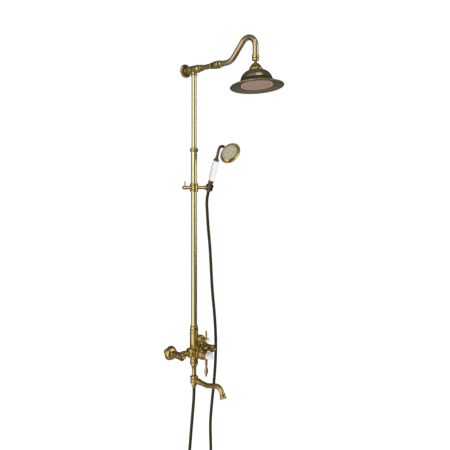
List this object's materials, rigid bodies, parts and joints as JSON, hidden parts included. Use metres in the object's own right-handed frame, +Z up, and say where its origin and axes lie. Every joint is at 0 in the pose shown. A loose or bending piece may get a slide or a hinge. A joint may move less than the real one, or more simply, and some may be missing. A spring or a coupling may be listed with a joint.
{
  "type": "rainfall shower column",
  "caption": "Exposed wall shower column: bell rain head on a swan-neck arm, telescoping riser, hand shower on a sliding bracket with hose, lever mixer, diverter and swivel bath spout.",
  "frame": {"origin": "on the finished wall, halfway between the hot and cold water inlets", "axes": "+X to the right along the wall, +Y into the wall, +Z up"},
  "size_m": [0.2268, 0.4855, 1.6246],
  "materials": {
    "antique_brass": "brushed antique brass with a clear coat",
    "head_bronze": "olive antique bronze, satin",
    "bronze_dark": "dark oil-rubbed bronze, polished",
    "hose_bronze": "dark bronze spiral-wound metal",
    "porcelain": "glazed white porcelain",
    "nickel_face": "pale satin spray face",
    "white_nylon": "moulded",
    "black_rubber": "matt",
    "zinc_steel": "zinc plated"
  },
  "bodies": {
    "column": {"lower_riser": "antique_brass", "telescope_collar": "antique_brass", "collar_screws": "bronze_dark", "riser_seal": "black_rubber", "riser_union_nut": "antique_brass", "mixer_body": "antique_brass", "cartridge": "white_nylon", "cartridge_nut": "bronze_dark", "diverter_cartridge": "white_nylon", "diverter_bonnet": "antique_brass", "inlet_flanges": "antique_brass", "inlet_elbow_left": "antique_brass", "inlet_elbow_right": "antique_brass", "inlet_unions": "antique_brass", "inlet_finials": "antique_brass", "inlet_tails": "antique_brass", "inlet_washers": "black_rubber", "lower_collar": "antique_brass", "baluster": "antique_brass", "spout_core": "antique_brass", "spout_o_rings": "black_rubber", "hose_lower_nut": "bronze_dark", "shower_hose": "hose_bronze"},
    "upper_column": {"top_wall_flange": "antique_brass", "top_wall_plate": "zinc_steel", "top_wall_screws": "zinc_steel", "top_wall_socket": "antique_brass", "top_tee": "antique_brass", "arm_collar": "antique_brass", "arm_tube": "antique_brass", "arm_nut": "antique_brass", "ball_stud": "bronze_dark", "upper_riser": "antique_brass"},
    "ball_joint_seat": {"ball_seat": "white_nylon"},
    "rain_head": {"head_cap": "antique_brass", "head_bell": "head_bronze", "head_face_ring": "head_bronze", "head_face_plate": "head_bronze"},
    "temperature_spindle": {"mixer_spindle": "zinc_steel"},
    "mixer_handle": {"handle_hub": "antique_brass", "porcelain_cap": "porcelain", "mixer_lever": "antique_brass"},
    "diverter": {"diverter_hub": "antique_brass", "diverter_lever": "antique_brass", "diverter_button": "porcelain"},
    "bath_spout": {"spout_hub": "antique_brass", "spout_tube": "antique_brass", "spout_nozzle": "antique_brass", "aerator_insert": "white_nylon"},
    "slider": {"slider_body": "antique_brass", "slider_bushing": "white_nylon", "slider_bar": "antique_brass"},
    "slider_lock": {"lock_knob": "antique_brass"},
    "handset_cradle": {"cradle": "bronze_dark"},
    "handset": {"hose_upper_nut": "bronze_dark", "handset_ferrule": "bronze_dark", "handset_handle": "porcelain", "handset_neck": "bronze_dark", "handset_head": "antique_brass", "handset_face": "nickel_face"}
  },
  "joints": [
    {"name": "telescope_slide", "type": "slide", "parent": "column", "child": "upper_column", "axis": [0, 0, 1], "range_m": [-0.2, 0.1]},
    {"name": "head_tilt", "type": "hinge", "parent": "upper_column", "child": "ball_joint_seat", "pos_m": [0, -0.361, 1.024], "axis": [1, 0, 0], "range_deg": [-3, 15]},
    {"name": "head_roll", "type": "hinge", "parent": "ball_joint_seat", "child": "rain_head", "pos_m": [0, -0.361, 1.024], "axis": [0, 1, 0], "range_deg": [-10, 8]},
    {"name": "slider_slide", "type": "slide", "parent": "column", "child": "slider", "axis": [0, 0, 1], "range_m": [-0.4, 0.11], "deforming": ["shower_hose"]},
    {"name": "lock_turn", "type": "hinge", "parent": "slider", "child": "slider_lock", "pos_m": [-0.044, -0.05, 0.614], "axis": [1, 0, 0], "range_deg": [0, 120]},
    {"name": "cradle_tilt", "type": "hinge", "parent": "slider", "child": "handset_cradle", "pos_m": [0.079, -0.05, 0.614], "axis": [1, 0, 0], "range_deg": [-25, 20]},
    {"name": "handset_lift", "type": "slide", "parent": "handset_cradle", "child": "handset", "axis": [0, -0.342, 0.9397], "range_m": [0, 0.05]},
    {"name": "mixer_temperature", "type": "hinge", "parent": "column", "child": "temperature_spindle", "pos_m": [0, -0.092, 0], "axis": [0, 1, 0], "range_deg": [-45, 45]},
    {"name": "mixer_flow", "type": "hinge", "parent": "temperature_spindle", "child": "mixer_handle", "pos_m": [0, -0.092, 0], "axis": [1, 0, 0], "range_deg": [-15, 0]},
    {"name": "diverter_turn", "type": "hinge", "parent": "column", "child": "diverter", "pos_m": [0, -0.117, 0.055], "axis": [0, 1, 0], "range_deg": [-90, 90]},
    {"name": "spout_swivel", "type": "hinge", "parent": "column", "child": "bath_spout", "pos_m": [0, -0.05, -0.106], "axis": [0, 0, 1], "range_deg": [-70, 70]}
  ]
}
